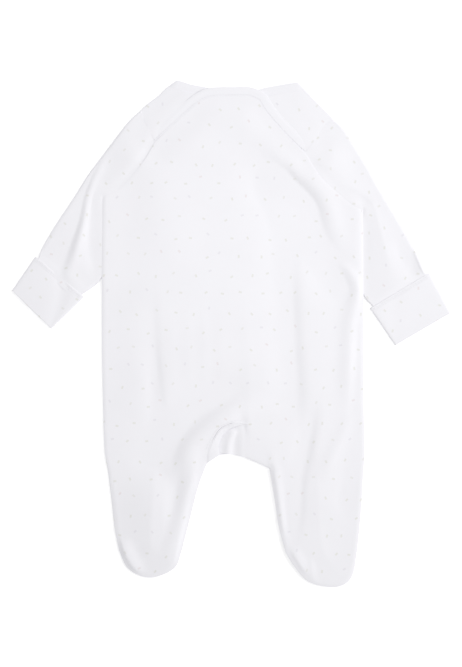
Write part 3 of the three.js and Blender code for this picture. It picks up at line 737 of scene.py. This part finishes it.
# Sleeves.
# Cotton tubes with one seam under the arm, set into the armholes of both shoulders and of the
# body. Each is laid slantwise beside the body, and its end is gathered a little into the cuff.
SLEEVE_HEAD = {
    "left": [ARMHOLE_TOP["left"], (-101, 213.5), (-126, 181.5), (-144, 157.5)],
    "right": [ARMHOLE_TOP["right"], (112, 205.5), (128, 181.5), (155, 133.5)],
}
SLEEVE_OUTER = {
    "left": [(-144, 157.5), (-159, 133.5), (-175, 109.5), (-189, 85.5)],
    "right": [(155, 133.5), (170, 109.5), (183, 85.5)],
}
SLEEVE_INNER = {
    "left": [(-125.5, 135.8), (-124.5, 115), (-124.8, 66), (-131, 53), (-139, 45.5)],
    "right": [(129.2, 122.6), (128.2, 100), (128.6, 62), (133.2, 37)],
}
CUFF_CORNERS = {
    "left": {"top": [(-147.5, 37), (-195, 76.5)], "end": [(-179.5, 4.5), (-219, 43)]},
    "right": {"top": [(139.5, 25.5), (197.5, 60.5)], "end": [(164, -12), (219.5, 20.5)]},
}
CUFF = 1.3
CUFF_OVERLAP = 7
CUFF_HUG = 2.4
CUFF_GAP = 0.1
SLEEVE_AIR = 2.4
SLEEVE_AIR_REACH = 36
GRAIN = {"left": 0.567, "right": -0.49}

# How far the head is tucked under the body's edge, over what half widths it takes the height of the
# folded shoulder and of the body at its seam, how deep it dips beside the body, and how high the
# sleeve lies where the body's side covers it
TUCK = 0.6
JOIN_FLAP = 20
JOIN_BODY = 9
UNDERARM_DIP = {"left": 0.35, "right": 0.0}
DIP_WIDTH = 3.5
UNDER_BODY = {"left": 2.6, "right": 1.9}
UNDER_REACH = 6

# Creases, told as for the back
SLEEVE_CREASES = [
    (6, 16, -2.6, [
        (-112, 214), (-138, 170), (-151, 138), (-155, 112), (-168, 73), (-174, 48), (-184, 16)]),
    (5, 5, 1.8, [(-120, 196), (-133, 164), (-143, 136), (-147, 112), (-156, 80), (-164, 50)]),
    (7, 6, -1.8, [(-126, 166), (-138, 128), (-139, 96), (-135, 52)]),
    (6, 8, -1.6, [(-174, 108), (-192, 68)]),
    (14, 14, 1.8, [(188, 104), (203, 72), (218, 40)]),
    (7, 9, -1.4, [(166, 98), (178, 70), (188, 44)]),
]


def tube(name, plan, lower, upper, thickness, open_rows, *nodes):
    """A flattened tube: rows of places across it, the heights of its two layers, its round sides.

    Its first open_rows are left open on the side that is sewn to the body.
    """
    loops = []
    for r, row in enumerate(plan):
        row = row.copy()
        low, high = lower[r], upper[r]
        for end, beyond in ((0, 1), (-1, -2)):
            if end == 0 and r < open_rows:
                continue
            way = (row[end] - row[beyond]) / np.linalg.norm(row[end] - row[beyond])
            row[end] = row[end] - way * ((high[end] - low) / 2 + thickness / 2)
            inside = row[4 if end == 0 else -5]
            # The three places next to the side are spread evenly up to the fourth
            for k in (1, 2, 3):
                row[k if end == 0 else -1 - k] = row[end] * (1 - k / 4) + inside * k / 4
        rim = []
        for end, beyond in ((-1, -2), (0, 1)):
            way = (row[end] - row[beyond]) / np.linalg.norm(row[end] - row[beyond])
            arc = turned(row[end][None], way, high[end], low)[:, 0]
            rim.append(arc if end == -1 else arc[::-1])
        top = np.column_stack([row, high])
        bottom = np.column_stack([row, np.full(len(row), low)])[::-1]
        loops.append(np.vstack([top, rim[0], bottom, rim[1], top[:1]]))
    grids = [np.array(loops[open_rows:])]
    if open_rows:
        grids.append(np.array([loop[:-6] for loop in loops[:open_rows + 1]]))
    return sewn(name, grids, thickness, *nodes)


SLEEVE_ACROSS = 44
SLEEVE_DOWN = 76
HEAD_DOWN = 34
sleeve_edges = [
    smoothed(line)[::6]
    for line in (*SLEEVE_HEAD.values(), *SLEEVE_OUTER.values(), *SLEEVE_INNER.values())]
sleeve_height = aired(sleeve_edges, SLEEVE_AIR, SLEEVE_AIR_REACH, SLEEVE_CREASES)
for hand in HANDS:
    top, end = (np.array(CUFF_CORNERS[hand][part], float) for part in ("top", "end"))
    down = (end - top) / np.linalg.norm(end - top, axis=1)[:, None]
    hug = (top[0] - top[1]) / np.linalg.norm(top[0] - top[1]) * CUFF_HUG
    mouth = top - down + [-hug, hug]
    tucked = top + down * CUFF_OVERLAP + [-hug, hug]
    under_edge = np.array([TUCK if hand == "left" else -TUCK, 0])
    cap = edge(SLEEVE_ACROSS, ARMHOLE_UPPER[hand][::-1]) + under_edge
    underarm = edge(SLEEVE_ACROSS, [SLEEVE_INNER[hand][0], SLEEVE_OUTER[hand][0]])
    armhole = edge(HEAD_DOWN, ARMHOLE_LOWER[hand], crowd=0) + under_edge
    armhole[-1] = underarm[0]
    head = filled(cap, underarm, armhole, edge(HEAD_DOWN, [cap[-1], *SLEEVE_HEAD[hand][1:]], crowd=0))
    inner = edge(SLEEVE_DOWN, [*SLEEVE_INNER[hand], mouth[0]], [mouth[0], tucked[0]], crowd=0)
    outer = edge(SLEEVE_DOWN, [*SLEEVE_OUTER[hand], mouth[1]], [mouth[1], tucked[1]], crowd=0)
    arm = filled(underarm, edge(SLEEVE_ACROSS, [tucked[0], tucked[1]]), inner, outer)
    plan = np.concatenate([head, arm[1:]])
    x, y = plan[..., 0], plan[..., 1]
    t = np.clip((np.arange(len(plan)) - HEAD_DOWN) / SLEEVE_DOWN, 0, 1)
    low, inside = CLOTH / 2, CUFF + CUFF_GAP + CLOTH / 2
    rising = ease((t - 0.8) / 0.2)
    lower = low + (inside - low) * rising
    free = sleeve_height(x, y)
    to_flap = abs(away(smoothed(ARMHOLE_UPPER[hand])[::4], x, y)[0])
    to_body = abs(away(smoothed(ARMHOLE_LOWER[hand])[::4], x, y)[0])
    near_flap, near_body = hump(to_flap, 1, JOIN_FLAP), hump(to_body, 1, JOIN_BODY)
    near_seam = np.maximum(near_flap, near_body)
    flap_level = FLAP_MIDDLE + ARMHOLE_RISE + flap_slope(hand, x, y)
    joined = flap_level * near_flap + back_height(x, y) * near_body
    joined = joined / (near_flap + near_body + 1e-9)
    free = free + (joined - 0.05 - free) * near_seam
    free -= hump(to_body - DIP_WIDTH, UNDERARM_DIP[hand], DIP_WIDTH)
    by_side = hump(nearest(OVER_SLEEVES, x, y), 1, UNDER_REACH) * (1 - near_seam)
    free += (UNDER_BODY[hand] - free) * by_side
    lifted = free + 0.3 * (inside - low) * rising[:, None]
    closing = ease((t - 0.86) / 0.09)[:, None]
    upper = lifted * (1 - closing) + (inside + CLOTH) * closing
    sleeve = tube(f"sleeve_{hand}_cloth", plan, lower, upper, CLOTH, HEAD_DOWN, f"sleeve_{hand}")
    sleeve.data.materials.append(cotton(f"sleeve_{hand}_jersey", JERSEY, turn=GRAIN[hand]))


# Turned-back cuffs.
# A doubled band of the same cotton, sewn to the sleeve's end and folded back over it, with two
# rows of stitching along its upper edge.
CUFF_DOWN = 34
CUFF_ACROSS = 40
CUFF_TOP = 3.0
CUFF_MOUTH = 2.9
CUFF_DRAWN_IN = 0.8
CUFF_CROWN = 0.5
STITCHED_ROWS = (3, 5)

# In shares of the cuff's depth and width: its stitching presses it in by a height over a half
# width, and a slanting dent runs down it from the middle of its upper edge
STITCHED_AT = 0.11
STITCH_PRESS = (-0.2, 0.035)
CUFF_DENT = {"left": -1.2, "right": -0.3}
DENT_WIDTH = 0.11
DENT_LEAN = 0.42


def crowned(t, height):
    """A low round rise across a strip."""
    return height * np.sin(np.pi * t) ** 0.6


cuff_rows = []
for hand in HANDS:
    top, end = (np.array(CUFF_CORNERS[hand][part], float) for part in ("top", "end"))
    wide = (top[0] - top[1]) / np.linalg.norm(top[0] - top[1]) * CUFF_DRAWN_IN
    top = top + [wide, -wide]
    plan = filled(
        edge(CUFF_ACROSS, [top[0], top[1]]), edge(CUFF_ACROSS, [end[0], end[1]]),
        edge(CUFF_DOWN, [top[0], end[0]]), edge(CUFF_DOWN, [top[1], end[1]]))
    v = np.linspace(0, 1, CUFF_DOWN + 1)[:, None]
    u = np.linspace(0, 1, CUFF_ACROSS + 1)[None]
    crown = crowned(u, CUFF_CROWN)
    rim = hump(v - STITCHED_AT, *STITCH_PRESS)
    dent = hump(u - 0.5 + DENT_LEAN * v, CUFF_DENT[hand], DENT_WIDTH) * ease(1.3 - v)
    upper = CUFF_TOP + (CUFF_MOUTH - CUFF_TOP) * ease((v - 0.25) / 0.75)
    upper = upper + (crown + dent) * ease(1.25 - 0.8 * v) + rim * ease(crown * 1.5)
    lower = np.full(len(plan), CUFF / 2)
    cuff = tube(f"cuff_{hand}_cloth", plan, lower, upper, CUFF, 0, f"cuff_{hand}")
    cuff_rows += [np.column_stack([plan[r], upper[r] + CUFF / 2])[3:-3] for r in STITCHED_ROWS]
    cuff.data.materials.append(cotton(f"cuff_{hand}_jersey", JERSEY, turn=GRAIN[hand]))


# Back neck binding.
# A folded strip of plain cotton knit, turned over the raw edge of the back's neck and of both its
# laps, sewn on and topstitched. Its ends are caught in the armhole seams.
BINDING = 1.2
BINDING_CROWN = 0.2


def strip(outer, inner, across, height):
    """A strip of cloth from its free edge to its seam, at the heights that a rule gives."""
    t = np.linspace(0, 1, across + 1)[:, None, None]
    places = ((1 - t) * outer[None] + t * inner[None]).transpose(1, 0, 2)
    over = np.broadcast_to(t[:, 0].T, places.shape[:2])
    return np.dstack([places, height(places[..., 0], places[..., 1], over)])


def binding_height(x, y, t):
    """A rounded section, down at its free edge and at its seam, and pressed down at the armholes."""
    under = lying(x, y, BINDING) - hump(nearest(armholes, x, y), 0.5, 6)
    return under + crowned(t, BINDING_CROWN) - 0.2 * ease(1 - t * 3) - 0.1


binding_line = edge(150, BACK_LAP["left"], BACK_NECK, BACK_LAP["right"], crowd=0)
free_edge = beside(binding_line, BINDING_WIDTH)
free_edge[0], free_edge[-1] = (-79.4, 202), (78.4, 188)
back_binding = sewn(
    "back_binding_cloth", [strip(free_edge, beside(binding_line, -0.3), 14, binding_height)],
    BINDING, "back_neck_binding")
plain = cotton("binding_cotton", (0.87, 0.865, 0.9), wale=0.9, printed=False, relief=0.25)
back_binding.data.materials.append(plain)


# Front neck binding.
# The same folded strip, turned over the raw edge of the front's neck, and sewn on. It goes round
# both shoulder folds with the cloth and on along the neck edges of the folded shoulders.
BINDING_PRESSED = 0.15
TURNED_IN = 0.2
BINDING_ACROSS = 10
upper, lower = FLAP_TOP - BINDING / 2 - BINDING_PRESSED, BINDING / 2
width = BINDING_WIDTH - TURNED_IN


def level(x, y, t):
    """A strip at no height, which is added afterwards."""
    return np.zeros(x.shape)


stations = {}
for hand in HANDS:
    way, outline, seam = shoulder_fold(hand, BINDING)
    toward = (outline[-1] - seam) / np.linalg.norm(outline[-1] - seam)
    stations[hand] = edge(BINDING_ACROSS, [outline[-1], seam + toward * TURNED_IN], crowd=0)
binding_rows = []
crown = crowned(np.linspace(0, 1, BINDING_ACROSS + 1), BINDING_CROWN)
for hand in HANDS:
    way = folds[hand][0]
    line = edge(FOLD_STEPS, FLAP_NECK[hand], crowd=0)
    inset = width if hand == "left" else -width
    flap = strip(line, beside(line, inset), BINDING_ACROSS, level)[:-1]
    flap[..., 2] += upper + crown
    over = at_height(stations[hand][None], upper)
    over[..., 2] += crown
    binding_rows.append(np.concatenate([
        flap, over, turned(stations[hand], way, upper, lower),
        at_height(stations[hand][None], lower)]))
neck_rows = strip(neck_edge, beside(neck_edge, -width), BINDING_ACROSS, level)[3:-6]
neck_rows[..., 2] += lower
front_binding = sewn(
    "front_binding_cloth", [np.concatenate([binding_rows[0], neck_rows, binding_rows[1][::-1]])],
    BINDING, "front_neck_binding")
front_binding.data.materials.append(plain)


# Crotch band.
# A faced strip of the plain cotton sewn round the arch of the back's popper opening, puffed
# between its two rows of stitching, with its free edge standing over the pleat.
BAND_START = (17.5, -89.8)
BAND_EDGE = [
    (17.6, -92.2), (14, -91), (6, -92.5), (-2.5, -96), (-9, -102), (-12.5, -111), (-11.5, -121.5)]
BAND_EDGE_HEIGHT = 3.3
BAND_CROWN = 0.45
BAND_ALONG = 44


def band_height(x, y, t):
    """Up from the pleat to the back, round across, and a little uneven."""
    slope = back_height(x, y) * t + BAND_EDGE_HEIGHT * (1 - t)
    return slope + crowned(t, BAND_CROWN) + 0.06 * np.sin(x * 1.1 + y * 0.7)


arch_line = edge(BAND_ALONG, [BAND_START, *ARCH], crowd=0)
arch_free = edge(BAND_ALONG, BAND_EDGE, crowd=0)
crotch_band = sewn(
    "crotch_band_cloth", [strip(arch_free, beside(arch_line, 0.15), 12, band_height)], BINDING,
    "back_placket")
crotch_band.data.materials.append(cotton("band_jersey", JERSEY, printed=False))


# Topstitching.
# White polyester thread in short even stitches: one row along the back neck binding, two along
# the crotch arch and two along each cuff. Each stitch is a small rounded bar pulled into the cloth.
STITCH = 2.2
PITCH = 3.0
THREAD = 0.26
RING = 6
NECK_ROW = 1.5
ARCH_ROW = 1.6

# A stitch: how far along it, and how thick the thread is there
STITCH_SHAPE = ((0, 0.3), (0.2, 0.9), (0.5, 1), (0.8, 0.9), (1, 0.3))
thread = bpy.data.materials.new("white_thread")
thread.use_nodes = True
spun = thread.node_tree.nodes["Principled BSDF"]
lay = Dye(thread.node_tree).node("TexCoord", out="Object")
ply = lay.node("TexWave", None, {"Vector": lay, "Scale": 900.0, "Distortion": 1.0}, "Fac")
twist = ply.node("Bump", None, {"Strength": 0.3, "Distance": 0.00008, "Height": ply})
thread.node_tree.links.new(twist.socket, spun.inputs["Normal"])
spun.inputs["Base Color"].default_value = (0.84, 0.835, 0.86, 1)
spun.inputs["Roughness"].default_value = 0.6


def stitched(name, rows):
    """Rows of stitches along lines that lie on the cloth's face."""
    points, faces = [], []
    for line in rows:
        far = np.concatenate([[0], np.cumsum(np.linalg.norm(np.diff(line, axis=0), axis=1))])
        for start in np.arange(PITCH / 2, far[-1] - PITCH / 2, PITCH):
            ends = np.array([
                [np.interp(start + s * STITCH, far, line[:, k]) for k in (0, 1, 2)]
                for s in (-0.5, 0.5)])
            way = (ends[1] - ends[0]) / np.linalg.norm(ends[1] - ends[0])
            side = np.array([-way[1], way[0], 0])
            first = len(points)
            for s, fat in STITCH_SHAPE:
                at = ends[0] + (ends[1] - ends[0]) * s
                for k in range(RING):
                    a = 2 * np.pi * k / RING
                    out = at + side * THREAD * fat * np.cos(a)
                    up = at[2] + THREAD * (fat * np.sin(a) + 0.35)
                    points.append((out[0] * MM, out[1] * MM, up * MM))
            for r in range(len(STITCH_SHAPE) - 1):
                for k in range(RING):
                    a, b = first + r * RING + k, first + r * RING + (k + 1) % RING
                    faces.append((a, b, b + RING, a + RING))
            faces.append(tuple(first + k for k in reversed(range(RING))))
            faces.append(tuple(len(points) - RING + k for k in range(RING)))
    mesh = bpy.data.meshes.new(name)
    mesh.from_pydata(points, [], faces)
    mesh.shade_smooth()
    piece = bpy.data.objects.new(name, mesh)
    scene.collection.objects.link(piece)
    piece.data.materials.append(thread)
    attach(piece, "root")
    return piece


def on_face(line, height, thickness):
    """The line laid on the upper face of a cloth."""
    return np.column_stack([line, height(line[:, 0], line[:, 1]) + thickness / 2])


def binding_face(x, y):
    """The height of the back neck binding along its stitches."""
    return lying(x, y, BINDING) + 0.1


def band_face(x, y):
    """The height of the crotch band along its stitches."""
    return back_height(x, y) * 0.87 + 0.65


stitched("neck_stitches", [on_face(beside(binding_line, NECK_ROW), binding_face, BINDING)])
stitched("arch_stitches", [
    on_face(beside(arch_line, -ARCH_ROW)[4:-8], back_height, CLOTH),
    on_face(beside(arch_line, ARCH_ROW)[4:-3], band_face, BINDING)])
stitched("cuff_stitches", cuff_rows)
